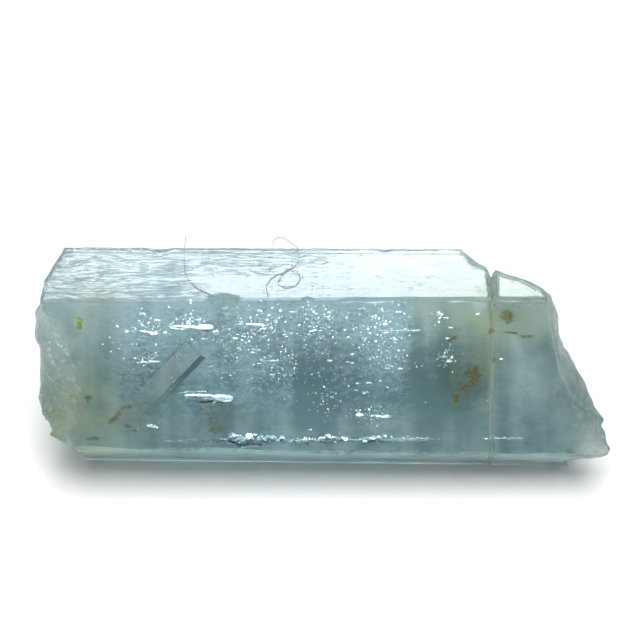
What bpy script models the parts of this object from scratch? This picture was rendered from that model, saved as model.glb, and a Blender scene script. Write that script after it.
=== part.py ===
"""Aquamarine crystal: one six-sided beryl prism, broken across at both ends, lying on a prism face.

+X runs along the crystal's long axis, -Y is the side with the two wide front faces, +Z is up.
The section is a flattened hexagon whose neighbouring faces all meet at 120 degrees, as beryl's do.
A ruled cylinder is carried to the crystal in two steps. First each vertex's angle picks a station
round the section and its radius a share of the way out from the middle; then its height picks a
share of the way from the left break to the right one, which are surfaces x(y, z) of their own.
"""

import math

import bmesh
import bpy
import numpy as np
from mathutils import Matrix, Vector, noise

MM = 0.001

# Driving dimensions, in millimetres. Pairs are (left end, right end): the prism tapers a little.
LENGTH = 27.5
HEIGHT = 9.2
TOP_WIDTH = (3.46, 3.14)
FRONT_UPPER_WIDTH = (7.56, 8.12)
TOP_FRONT_EDGE_Y = (-1.20, -1.00)
BOTTOM_BACK_EDGE_Y = 2.62
FACE_ANGLE = math.radians(60)

ROWS = 36
CAP_RINGS = (0.95, 0.88)
CAP_GRID = 0.45
CORNER_BAND = 0.16
STEP_RUN = 0.05
EDGE_WEAR = 0.035
WORN_EDGE_START, WORN_EDGE_DEPTH = 0.60, 0.12
BREAK_ROUGHNESS = 0.22
BREAK_GRAIN = 0.12

# Growth ledges on each prism face: (share of the face's width where a terrace starts, its depth).
LEDGES = {
    "top": ((0.0, 0.02), (0.12, 0.00), (0.34, 0.00), (0.62, 0.00), (0.84, 0.00)),
    "front_upper": ((0.0, 0.00), (0.10, 0.00), (0.30, 0.00), (0.46, 0.01), (0.64, 0.00), (0.82, 0.00)),
    "front_lower": ((0.0, 0.00), (0.35, 0.06), (0.68, 0.02)),
    "bottom": ((0.0, 0.00), (0.33, 0.00), (0.66, 0.00)),
    "back_lower": ((0.0, 0.02), (0.22, 0.08), (0.48, 0.03), (0.74, 0.10)),
    "back_upper": ((0.0, 0.05), (0.18, 0.12), (0.40, 0.04), (0.60, 0.14), (0.80, 0.06)),
}
FACES = tuple(LEDGES)

# The two breaks: (face, share along it, share of the way out from the middle, x in mm).
LEFT_BREAK = (
    ("top", 0.0, 1.0, -12.45),
    ("top", 0.5, 1.0, -13.05),
    ("front_upper", 0.0, 1.0, -13.40),
    ("front_upper", 0.10, 1.0, -13.10),
    ("front_upper", 0.20, 1.0, -12.50),
    ("front_upper", 0.45, 1.0, -11.75),
    ("front_upper", 0.70, 1.0, -11.35),
    ("front_upper", 0.86, 1.0, -11.25),
    ("front_lower", 0.0, 1.0, -11.75),
    ("front_lower", 0.5, 1.0, -11.65),
    ("bottom", 0.0, 1.0, -11.40),
    ("bottom", 0.5, 1.0, -11.80),
    ("back_lower", 0.0, 1.0, -11.50),
    ("back_lower", 0.5, 1.0, -12.10),
    ("back_upper", 0.0, 1.0, -12.30),
    ("back_upper", 0.5, 1.0, -11.90),
    ("top", 0.5, 0.75, -13.30),
    ("front_upper", 0.05, 0.85, -13.40),
    ("front_upper", 0.20, 0.74, -13.50),
    ("front_upper", 0.40, 0.74, -13.35),
    ("front_upper", 0.45, 0.35, -13.40),
    ("front_upper", 0.62, 0.74, -13.15),
    ("front_upper", 0.78, 0.82, -12.75),
    ("front_upper", 0.90, 0.88, -12.90),
    ("front_upper", 0.96, 0.95, -13.00),
    ("front_lower", 0.15, 0.88, -12.40),
    ("front_lower", 0.60, 0.78, -12.20),
    ("bottom", 0.2, 0.60, -12.60),
    ("back_lower", 0.5, 0.55, -12.90),
    ("back_upper", 0.5, 0.55, -12.80),
)
RIGHT_BREAK = (
    ("top", 0.0, 1.0, 6.60),
    ("top", 0.15, 1.0, 6.80),
    ("top", 0.28, 1.0, 6.95),
    ("top", 0.38, 1.0, 7.20),
    ("top", 0.48, 1.0, 7.90),
    ("top", 0.57, 1.0, 8.95),
    ("top", 0.66, 1.0, 9.80),
    ("top", 0.80, 1.0, 10.35),
    ("front_upper", 0.0, 1.0, 10.65),
    ("front_upper", 0.30, 1.0, 11.10),
    ("front_upper", 0.63, 1.0, 11.75),
    ("front_upper", 0.83, 1.0, 12.30),
    ("front_lower", 0.0, 1.0, 13.42),
    ("front_lower", 0.20, 1.0, 12.10),
    ("front_lower", 0.50, 1.0, 11.85),
    ("bottom", 0.0, 1.0, 11.80),
    ("bottom", 0.5, 1.0, 11.30),
    ("back_lower", 0.0, 1.0, 10.40),
    ("back_lower", 0.5, 1.0, 9.40),
    ("back_upper", 0.0, 1.0, 7.60),
    ("back_upper", 0.5, 1.0, 6.90),
    ("top", 0.15, 0.92, 7.30),
    ("top", 0.38, 0.94, 7.95),
    ("top", 0.40, 0.91, 9.10),
    ("top", 0.60, 0.92, 10.05),
    ("front_upper", 0.02, 0.90, 10.70),
    ("front_upper", 0.30, 0.82, 11.35),
    ("front_upper", 0.55, 0.80, 11.85),
    ("front_upper", 0.75, 0.86, 12.80),
    ("front_upper", 0.88, 0.90, 13.30),
    ("front_lower", 0.0, 0.93, 13.65),
    ("front_lower", 0.35, 0.82, 12.40),
    ("bottom", 0.2, 0.60, 12.00),
    ("back_lower", 0.5, 0.60, 10.40),
    ("back_upper", 0.5, 0.60, 8.60),
)

# The crack that crosses the crystal near its right end, open at the top and a hairline below.
CRACK_X = 8.10
CRACK_LEAN = math.radians(1.5)
NOTCH_WIDTH, NOTCH_DEPTH, NOTCH_DIP = 0.50, 0.50, math.radians(8)
GAP_WIDTH, GAP_DEPTH, GAP_DIP = 1.30, 1.50, math.radians(-10)
HAIRLINE_WIDTH, HAIRLINE_DEPTH = 0.07, 0.05
CUTTER_RISE = 0.4

# Shell-shaped chips on the edges: (edge's first face, x, radius, how far its centre stands off the edge).
CHIPS = (
    ("front_upper", -4.70, 0.60, 0.20),
    ("front_upper", -0.70, 0.32, 0.16),
    ("top", -7.80, 0.80, 0.52),
    ("top", 3.00, 0.45, 0.24),
    ("front_lower", 0.90, 0.50, 0.30),
    ("front_lower", 4.60, 0.70, 0.50),
    ("back_upper", -3.80, 1.30, 0.75),
    ("back_upper", 5.20, 0.90, 0.40),
    ("back_lower", -7.50, 1.00, 0.60),
)


def lerp(pair, t):
    return pair[0] + (pair[1] - pair[0]) * t


def corners(t):
    """The hexagon's corners as (y, z), where t is 0 at the left end and 1 at the right.

    Corner i is where face i of FACES starts, walking over the top to the front and round below.
    """
    rise, run = math.sin(FACE_ANGLE), math.cos(FACE_ANGLE)
    top, front, edge_y = (lerp(pair, t) for pair in (TOP_WIDTH, FRONT_UPPER_WIDTH, TOP_FRONT_EDGE_Y))
    waist = Vector((edge_y - front * run, HEIGHT - front * rise))
    foot = Vector((waist.x + waist.y / rise * run, 0.0))
    back_lower = top + front - (BOTTOM_BACK_EDGE_Y - foot.x)
    return (
        Vector((edge_y + top, HEIGHT)),
        Vector((edge_y, HEIGHT)),
        waist,
        foot,
        Vector((BOTTOM_BACK_EDGE_Y, 0.0)),
        Vector((BOTTOM_BACK_EDGE_Y + back_lower * run, back_lower * rise)),
    )


def middle(t):
    return sum(corners(t), Vector((0.0, 0.0))) / len(FACES)


def on_face(name, share, t):
    """The point (y, z) that lies share of the way along a face."""
    first = FACES.index(name)
    points = corners(t)
    return points[first].lerp(points[(first + 1) % len(FACES)], share)


def stations():
    """Every point round the section, as (face, share, depth, how much of the edge's wear it takes)."""
    found = []
    for name, ledges in LEDGES.items():
        points = corners(0.5)
        first = FACES.index(name)
        width = (points[(first + 1) % len(FACES)] - points[first]).length
        band, run = CORNER_BAND / width, STEP_RUN / width
        found.append((name, 0.0, 0.0, 1.0))
        found.append((name, band, ledges[0][1], 0.0))
        for before, after in zip(ledges, ledges[1:]):
            found.append((name, after[0] - run, before[1], 0.0))
            found.append((name, after[0], after[1], 0.0))
        found.append((name, 1.0 - band, ledges[-1][1], 0.0))
    return found


def station_point(station, order, t):
    """Where a station of the section lies at t, as (y, z): ledges fade in and out along the crystal."""
    name, share, depth, wear = station
    point = on_face(name, share, t)
    first = FACES.index(name)
    points = corners(t)
    along = (points[(first + 1) % len(FACES)] - points[first]).normalized()
    inward = Vector((-along.y, along.x))
    fade = 0.5 + 0.5 * noise.noise(Vector((6.0 * t, 3.1 * first, 4.0 * share)))
    chipped = EDGE_WEAR * (1.0 + 1.5 * noise.noise(Vector((24.0 * t, 1.7 * order, 0.0))))
    if name == "front_upper" and share == 0.0:
        chipped += WORN_EDGE_DEPTH * min(1.0, max(0.0, 30.0 * (t - WORN_EDGE_START)))
    towards_middle = (middle(t) - point).normalized()
    flat_foot = name == "bottom" or (name == "back_lower" and share == 0.0)
    return point + inward * depth * fade + towards_middle * chipped * wear * (not flat_foot)


def spline_surface(points):
    """A thin-plate spline x(y, z) through the break's points, so that it bulges like broken stone."""
    places, heights = [], []
    for name, share, reach, x in points:
        t = float(x > 0)
        rim, centre = on_face(name, share, t), middle(t)
        places.append(centre + (rim - centre) * reach)
        heights.append(x)
    count = len(places)
    system = np.zeros((count + 3, count + 3))
    for i, a in enumerate(places):
        system[i, :count] = [plate((a - b).length) for b in places]
        system[i, count:] = system[count:, i] = (1.0, a.x, a.y)
    weights = np.linalg.solve(system, np.array(heights + [0.0] * 3))

    def surface(at):
        spread = np.array([plate((at - b).length) for b in places] + [1.0, at.x, at.y])
        return float(spread @ weights)

    return surface


def plate(distance):
    return distance * distance * math.log(distance) if distance > 1e-9 else 0.0


def roughness(at, seed):
    """The lumps and grain of a broken face."""
    place = Vector((at.x, at.y, seed))
    return BREAK_ROUGHNESS * noise.noise(place * 0.9) + BREAK_GRAIN * noise.noise(place * 2.1)


def cylinder(segments):
    """A closed unit cylinder from x = 0 to 1, ruled into rows, with rings inside each cap."""
    bm = bmesh.new()
    bmesh.ops.create_cone(bm, cap_ends=True, segments=segments, radius1=1.0, radius2=1.0, depth=1.0)
    lay_down = Matrix.Rotation(math.radians(90), 3, "Y")
    bmesh.ops.rotate(bm, verts=bm.verts, cent=(0, 0, 0), matrix=lay_down)
    bmesh.ops.translate(bm, verts=bm.verts, vec=(0.5, 0, 0))
    lengthwise = [e for e in bm.edges if abs(e.verts[0].co.x - e.verts[1].co.x) > 0.5]
    bmesh.ops.subdivide_edges(bm, edges=lengthwise, cuts=ROWS - 1, use_grid_fill=True)
    for cap in caps(bm, segments):
        for before, ring in zip((1.0,) + CAP_RINGS, CAP_RINGS):
            bmesh.ops.inset_region(bm, faces=[cap], thickness=0.0, use_boundary=True)
            bmesh.ops.scale(bm, verts=cap.verts, vec=(1.0, ring / before, ring / before))
    return bm


def caps(bm, segments):
    return [face for face in bm.faces if len(face.verts) == segments]


def carry_section(bm, ring):
    """Moves each vertex from the unit circle to the crystal's section, leaving its x as it is."""
    turn = 2 * math.pi / len(ring)
    first = next(iter(bm.verts)).co
    start = math.atan2(first.z, first.y)
    for v in bm.verts:
        order = round((math.atan2(v.co.z, v.co.y) - start) / turn) % len(ring)
        centre = middle(v.co.x)
        rim = station_point(ring[order], order, v.co.x)
        at = centre + (rim - centre) * math.hypot(v.co.y, v.co.z)
        v.co = (v.co.x, at.x, at.y)


def rule_caps(bm, segments):
    """Cuts each cap's middle into a grid, so that its break can be lumpy all over."""
    for cap in caps(bm, segments):
        spans = [sorted(v.co[axis] for v in cap.verts)[:: segments - 1] for axis in (1, 2)]
        region = {cap}
        for axis, (low, high) in enumerate(spans, start=1):
            for step in range(1, int((high - low) / CAP_GRID) + 1):
                across, through = Vector(), Vector()
                across[axis], through[axis] = 1.0, low + step * CAP_GRID
                parts = region | {e for f in region for e in f.edges} | {v for f in region for v in f.verts}
                cut = bmesh.ops.bisect_plane(bm, geom=list(parts), dist=1e-5, plane_co=through, plane_no=across)
                region = {g for g in cut["geom"] if isinstance(g, bmesh.types.BMFace)}


def stretch_to_breaks(bm):
    """Turns each vertex's x from a share of the length into its place between the two breaks."""
    left, right = spline_surface(LEFT_BREAK), spline_surface(RIGHT_BREAK)
    for v in bm.verts:
        at = v.co.yz
        v.co.x = lerp((left(at) + roughness(at, 0.0), right(at) + roughness(at, 9.0)), v.co.x)
        v.co *= MM


def add_object(name, bm, collection):
    mesh = bpy.data.meshes.new(name)
    bm.to_mesh(mesh)
    bm.free()
    obj = bpy.data.objects.new(name, mesh)
    collection.objects.link(obj)
    return obj


def hide_cutter(obj):
    obj.hide_render = True
    obj.display_type = "WIRE"
    return obj


def chip_cutters(collection):
    """Slightly lumpy balls that take shell-shaped chips off the edges."""
    made = []
    for number, (face, x, radius, stand_off) in enumerate(CHIPS):
        t = x / LENGTH + 0.5
        edge = on_face(face, 0.0, t)
        outward = (edge - middle(t)).normalized()
        at = edge + outward * stand_off
        bm = bmesh.new()
        bmesh.ops.create_icosphere(bm, subdivisions=2, radius=radius * MM)
        spin = Matrix.Rotation(0.7 * number + 0.3, 4, "X") @ Matrix.Rotation(0.9 * number, 4, "Z")
        bmesh.ops.transform(bm, verts=bm.verts, matrix=spin)
        bmesh.ops.scale(bm, verts=bm.verts, vec=(1.35, 1.0, 1.0))
        bmesh.ops.translate(bm, verts=bm.verts, vec=Vector((x, at.x, at.y)) * MM)
        made.append(hide_cutter(add_object(f"chip_cutter_{number + 1}", bm, collection)))
    return made


def wedge(width, depth, length):
    """A V-shaped bar along Y: width across at z = 0, closing to its keel at z = -depth."""
    spread = width / 2 * (depth + CUTTER_RISE) / depth
    profile = ((-spread, CUTTER_RISE), (spread, CUTTER_RISE), (0.0, -depth))
    bm = bmesh.new()
    face = bm.faces.new([bm.verts.new((x, -length / 2, z)) for x, z in profile])
    pushed = bmesh.ops.extrude_face_region(bm, geom=[face])["geom"]
    moved = [g for g in pushed if isinstance(g, bmesh.types.BMVert)]
    bmesh.ops.translate(bm, verts=moved, vec=(0, length, 0))
    bmesh.ops.recalc_face_normals(bm, faces=bm.faces)
    return bm


def crack_cutters(collection):
    """The notch across the top, the gap it opens into behind, and the hairline down the other faces."""
    t = CRACK_X / LENGTH + 0.5
    places = (
        ("crack_notch_cutter", "top", 0.5, NOTCH_WIDTH, NOTCH_DEPTH, 7.5, NOTCH_DIP),
        ("crack_gap_cutter", "back_upper", 1.0, GAP_WIDTH, GAP_DEPTH, 5.0, GAP_DIP),
        ("hairline_cutter_front_upper", "front_upper", 0.5, HAIRLINE_WIDTH, HAIRLINE_DEPTH, 9.5, 0.0),
        ("hairline_cutter_front_lower", "front_lower", 0.5, HAIRLINE_WIDTH, HAIRLINE_DEPTH, 3.2, 0.0),
        ("hairline_cutter_back_upper", "back_upper", 0.5, HAIRLINE_WIDTH, HAIRLINE_DEPTH, 7.0, 0.0),
    )
    made = []
    for name, face, share, width, depth, length, dip in places:
        first, last = on_face(face, 0.0, t), on_face(face, 1.0, t)
        along = last - first
        at = first.lerp(last, share)
        tilt = math.atan2(along.y, along.x) + math.pi - dip
        bm = wedge(width, depth, length)
        turn = Matrix.Rotation(tilt, 4, "X") @ Matrix.Rotation(CRACK_LEAN, 4, "Z")
        bmesh.ops.transform(bm, verts=bm.verts, matrix=turn)
        bmesh.ops.translate(bm, verts=bm.verts, vec=(CRACK_X, at.x, at.y))
        bmesh.ops.scale(bm, verts=bm.verts, vec=(MM, MM, MM))
        made.append(hide_cutter(add_object(name, bm, collection)))
    return made


def aquamarine():
    """Clear pale blue-green beryl."""
    material = bpy.data.materials.new("aquamarine")
    material.use_nodes = True
    shader = material.node_tree.nodes["Principled BSDF"]
    shader.inputs["Base Color"].default_value = (0.62, 0.78, 0.80, 1.0)
    shader.inputs["Roughness"].default_value = 0.08
    shader.inputs["IOR"].default_value = 1.58
    shader.inputs["Transmission Weight"].default_value = 1.0
    return material


def main():
    for obj in list(bpy.data.objects):
        bpy.data.objects.remove(obj)
    crystal_collection = bpy.data.collections.new("aquamarine_crystal")
    cutter_collection = bpy.data.collections.new("cutters")
    for collection in (crystal_collection, cutter_collection):
        bpy.context.scene.collection.children.link(collection)

    ring = stations()
    bm = cylinder(len(ring))
    carry_section(bm, ring)
    rule_caps(bm, len(ring))
    stretch_to_breaks(bm)
    bmesh.ops.recalc_face_normals(bm, faces=bm.faces)
    crystal = add_object("aquamarine_crystal", bm, crystal_collection)
    crystal.data.materials.append(aquamarine())

    for cutter in chip_cutters(cutter_collection) + crack_cutters(cutter_collection):
        cut = crystal.modifiers.new(cutter.name, "BOOLEAN")
        cut.operation = "DIFFERENCE"
        cut.object = cutter


main()
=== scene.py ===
"""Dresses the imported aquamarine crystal: a clear, pale blue-green beryl prism lying on one of its faces.

The outside is a finely divided copy of the solid, frosted where it is broken and smooth where it grew.
Inside it lie what beryl holds: tubes and cavities drawn out along its length, healed cracks, a bar of
another crystal, and iron stain in the one crack that crosses it. All lengths in tables are millimetres.
"""

import math
import random

import bmesh
import bpy
from mathutils import Euler, Matrix, Vector, noise
from mathutils.bvhtree import BVHTree


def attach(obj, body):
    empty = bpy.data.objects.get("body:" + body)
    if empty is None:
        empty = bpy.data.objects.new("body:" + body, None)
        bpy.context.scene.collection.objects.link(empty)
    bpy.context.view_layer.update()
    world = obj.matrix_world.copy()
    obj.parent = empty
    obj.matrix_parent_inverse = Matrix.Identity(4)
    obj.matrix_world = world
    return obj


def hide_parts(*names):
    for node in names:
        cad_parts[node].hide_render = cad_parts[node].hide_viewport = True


bl_info = {
    "name": "Aquamarine Crystal",
    "version": (1, 0, 0),
    "blender": (4, 5, 0),
    "location": "3D Viewport > Sidebar > Crystal",
    "description": "Dresses an aquamarine prism with its surfaces, inclusions and stains",
    "category": "Object",
}

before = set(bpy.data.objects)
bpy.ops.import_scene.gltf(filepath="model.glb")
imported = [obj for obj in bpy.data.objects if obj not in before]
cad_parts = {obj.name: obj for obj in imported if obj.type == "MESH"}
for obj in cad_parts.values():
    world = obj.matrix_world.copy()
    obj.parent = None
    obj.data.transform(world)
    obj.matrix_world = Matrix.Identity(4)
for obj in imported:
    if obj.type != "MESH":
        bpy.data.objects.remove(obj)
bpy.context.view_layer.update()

NODE = "aquamarine_crystal"
MM, MM_PER_METRE = 0.001, 1000.0
LENGTH, HEIGHT = 27.5, 9.2

# The section's corners as (y, z) at the left end and at the right, over the top, down the front and
# round below.
CORNERS = (
    ((2.26, 9.20), (2.14, 9.20)),
    ((-1.20, 9.20), (-1.00, 9.20)),
    ((-4.98, 2.65), (-5.06, 2.17)),
    ((-3.45, 0.00), (-3.81, 0.00)),
    ((2.62, 0.00), (2.62, 0.00)),
    ((5.10, 4.29), (5.04, 4.19)),
)
# The faces that inclusions lie under, each numbered by the corner where it starts. The skirt is the
# narrow face below the front.
TOP, FRONT, SKIRT = 0, 1, 2
# Where the skirt starts, how far down the front is seen from ahead, and how steeply both faces fall.
WAIST, FRONT_REACH, FALL = 2.3, 7.3, 0.87
# The crack crosses the crystal at CRACK_X where it is CRACK_HEIGHT high, and leans from there.
CRACK_X, CRACK_HEIGHT, CRACK_LEAN = 8.10, 5.8, math.radians(1.5)
# How far down the front a point seems to slip for each millimetre that it lies beneath it.
SIGHT_SLIP = 0.22
# The front face's slope, and the slope at which a flat cavity under it throws the window's light ahead.
FRONT_TILT, GLINT_TILT = math.radians(60), math.radians(11.75)

# Clouds of tiny cavities under the wide front face: (x, down from its top edge, half-sizes, how many).
CLOUDS = (
    (-8.2, 1.4, 1.0, 0.8, 60),
    (-8.3, 3.0, 0.6, 0.5, 40),
    (-7.9, 4.3, 1.0, 0.5, 12),
    (-6.2, 1.0, 0.9, 0.4, 30),
    (-4.4, 2.2, 1.0, 1.2, 50),
    (-2.9, 1.3, 1.3, 0.8, 90),
    (-2.4, 3.7, 1.2, 1.2, 70),
    (-0.1, 1.1, 0.9, 1.2, 70),
    (0.1, 4.9, 0.7, 1.1, 35),
    (2.9, 2.0, 1.3, 1.9, 150),
    (2.2, 5.9, 1.0, 0.5, 60),
    (5.9, 3.0, 0.5, 0.5, 40),
    (5.6, 0.8, 0.5, 0.3, 8),
    (-2.0, 2.2, 7.5, 2.8, 420),
)
# Flat cavities along the length, which catch the light: (x, down, depth, length, width, lean).
PLATES = (
    (-6.5, 1.30, 0.5, 1.3, 0.20, 0.02),
    (-5.65, 1.42, 0.5, 1.2, 0.28, 0.0),
    (-5.15, 1.62, 0.5, 0.5, 0.16, 0.0),
    (-8.2, 1.62, 0.5, 0.95, 0.14, 0.25),
    (-7.5, 1.60, 0.5, 0.25, 0.12, 0.0),
    (-9.35, 1.50, 0.5, 0.25, 0.12, 0.3),
    (-8.15, 3.07, 0.5, 1.3, 0.09, 0.0),
    (-6.4, 4.65, 0.95, 1.2, 0.10, 0.0),
    (-5.6, 5.02, 1.0, 2.0, 0.34, 0.0),
    (-5.0, 5.00, 1.05, 1.4, 0.40, 0.0),
    (-8.1, 6.40, 1.15, 0.6, 0.20, 0.0),
    (-3.9, 1.20, 0.4, 0.25, 0.08, 0.0),
    (-3.2, 1.20, 0.4, 0.8, 0.07, 0.0),
    (-3.1, 2.5, 0.5, 0.55, 0.08, 0.2),
    (-2.7, 3.05, 0.5, 0.9, 0.08, 0.05),
    (-2.1, 3.75, 0.5, 0.2, 0.12, 0.0),
    (0.75, 0.55, 0.4, 0.5, 0.08, 0.9),
    (0.35, 3.05, 0.5, 0.55, 0.07, 0.0),
    (1.25, 3.2, 0.5, 0.65, 0.10, 0.3),
    (3.2, 3.35, 0.5, 0.35, 0.09, 0.1),
    (3.1, 2.6, 0.5, 0.3, 0.08, 0.4),
    (3.55, 1.55, 0.4, 1.6, 0.04, 0.0),
    (5.5, 0.7, 0.4, 0.16, 0.16, 0.4),
    (7.4, 0.75, 0.4, 0.2, 0.10, 0.0),
    (6.0, 2.0, 0.4, 0.22, 0.08, 0.0),
    (2.0, 4.75, 0.95, 0.3, 0.10, 0.3),
    (1.7, 5.9, 1.1, 0.6, 0.20, 0.1),
    (2.9, 5.95, 1.1, 1.3, 0.10, 0.2),
)
# The same along the lower front edge, half broken out of it: (x, length, width). They also place the painted
# highlights along that edge.
EDGE_PLATES = (
    (-6.2, 1.2, 0.10),
    (-4.6, 4.6, 0.06),
    (-0.6, 4.6, 0.06),
    (3.2, 4.0, 0.06),
    (-5.0, 0.8, 0.14),
    (-3.9, 1.5, 0.34),
    (-3.0, 0.7, 0.26),
    (-2.1, 0.7, 0.20),
    (-0.8, 0.6, 0.24),
    (0.1, 0.7, 0.20),
    (0.8, 0.6, 0.22),
    (2.2, 1.2, 0.26),
    (3.0, 0.8, 0.18),
    (4.4, 0.3, 0.12),
    (8.4, 0.8, 0.05),
    (9.3, 0.7, 0.05),
)
# Fine threads of cavities, each through the points (x, down).
THREADS = (
    ((3.34, 0.56), (3.75, 0.80), (3.96, 1.07), (4.06, 1.53)),
    ((-2.18, 1.33), (-1.90, 1.43), (-1.75, 1.80), (-1.90, 2.15), (-2.15, 2.05), (-2.22, 1.70)),
    ((-0.95, 0.26), (-0.90, 0.90), (-0.92, 1.58)),
    ((-3.40, 2.45), (-2.90, 2.60), (-2.50, 2.40)),
    ((-2.85, 3.10), (-2.40, 3.00), (-2.10, 3.15)),
    ((0.50, 0.35), (0.80, 0.50), (1.00, 0.80)),
    ((2.60, 0.40), (2.90, 0.60), (3.30, 0.52)),
    ((2.30, 1.00), (2.50, 1.50), (2.45, 2.10)),
)
# Cloudy zones of the beryl, and two patches of painted light: (x, down, half-width, half-height, how much
# lighter, how much browner).
ZONES = (
    (-11.0, 1.2, 1.3, 3.0, 0.0, 0.30),
    (-8.6, 1.3, 1.8, 1.5, 0.18, 0.0),
    (-6.6, 0.6, 1.6, 1.0, 0.12, 0.0),
    (-7.4, 3.4, 2.2, 1.8, 0.22, 0.10),
    (-4.2, 3.6, 2.4, 1.9, 0.28, 0.0),
    # A painted glow round the bright flat cavities in front of it.
    (-5.3, 5.1, 1.8, 0.8, 0.20, 0.0),
    (-0.3, 4.6, 1.1, 2.8, -0.12, 0.0),
    (0.9, 2.6, 0.5, 2.4, -0.18, 0.0),
    (2.9, 2.2, 1.3, 2.6, 0.32, 0.0),
    (2.5, 5.9, 1.3, 0.8, 0.14, 0.0),
    (5.0, 4.2, 1.3, 3.6, -0.18, 0.20),
    (5.8, 0.6, 2.2, 1.2, 0.10, 0.28),
    (6.8, 3.2, 1.4, 3.3, -0.06, 0.55),
    (9.3, 0.8, 2.2, 1.8, 0.40, 0.48),
    (9.0, 3.6, 1.6, 3.5, 0.12, 0.10),
    (9.8, 4.3, 1.6, 1.3, 0.30, 0.0),
    (9.8, 5.6, 2.0, 1.6, 0.18, 0.0),
    (-11.3, 5.4, 1.8, 2.4, 0.26, 0.70),
    (-9.2, 6.3, 1.8, 1.3, 0.15, 0.45),
    (8.0, 2.6, 0.9, 3.0, 0.0, 0.40),
    # A painted highlight along the lower front edge.
    (-1.4, 7.3, 4.6, 0.6, 0.15, 0.0),
    (-5.0, 5.9, 1.3, 0.7, -0.04, 0.35),
)
# Layers of cloud, whose lightness holds painted light: (name, prism face, start and end down the face,
# depth, how opaque, lighter by). Lighter by is painted light that makes the cloud under the skirt and the
# top lighter than under the front.
CLOUD_LAYERS = (
    ("cloud_and_painted_light_upper", FRONT, -0.6, 8.4, 1.4, 0.66, 0.0),
    ("cloud_and_painted_light_lower", FRONT, -0.6, 8.8, 2.4, 0.66, 0.0),
    ("cloud_and_painted_light_skirt", SKIRT, 0.15, 3.05, 0.22, 0.85, 0.14),
    ("cloud_and_painted_light_top", TOP, 0.1, 3.0, 0.6, 0.45, 0.1),
)


def lerp(a, b, t):
    """The number that lies a share t of the way from a to b."""
    return a + (b - a) * t


def corner(index, x):
    """Corner index of the section at x, as (y, z)."""
    left, right = CORNERS[index % len(CORNERS)]
    return Vector(left).lerp(Vector(right), x / LENGTH + 0.5)


def crack_at(z):
    """Where the crack lies at a height, both in millimetres."""
    return CRACK_X + (z - CRACK_HEIGHT) * math.tan(CRACK_LEAN)


def under_face(face, x, down, depth):
    """The point depth beneath a prism face, down from the edge where the face starts, in metres."""
    start, end = corner(face, x), corner(face + 1, x)
    along = (end - start).normalized()
    inward = Vector((-along.y, along.x))
    at = start + along * down + inward * depth
    return Vector((x, at.x, at.y)) * MM


def under_front(x, down, depth):
    """A point beneath the wide front face, set back so that it is seen at x and down from the front."""
    return under_face(FRONT, x, down + SIGHT_SLIP * depth, depth)


class Term:
    """A shader socket that is added, subtracted and multiplied like a number."""

    def __init__(self, finish, socket):
        self.finish = finish
        self.socket = socket

    def _math(self, operation, *values):
        return self.finish.node("ShaderNodeMath", {"operation": operation}, dict(enumerate(values)))

    def __add__(self, other):
        return self._math("ADD", self, other)

    def __sub__(self, other):
        return self._math("SUBTRACT", self, other)

    def __rsub__(self, other):
        return self._math("SUBTRACT", other, self)

    def __mul__(self, other):
        return self._math("MULTIPLY", self, other)

    def at_least(self, other):
        return self._math("MAXIMUM", self, other)

    def at_most(self, other):
        return self._math("MINIMUM", self, other)

    __radd__ = __add__
    __rmul__ = __mul__


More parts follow.
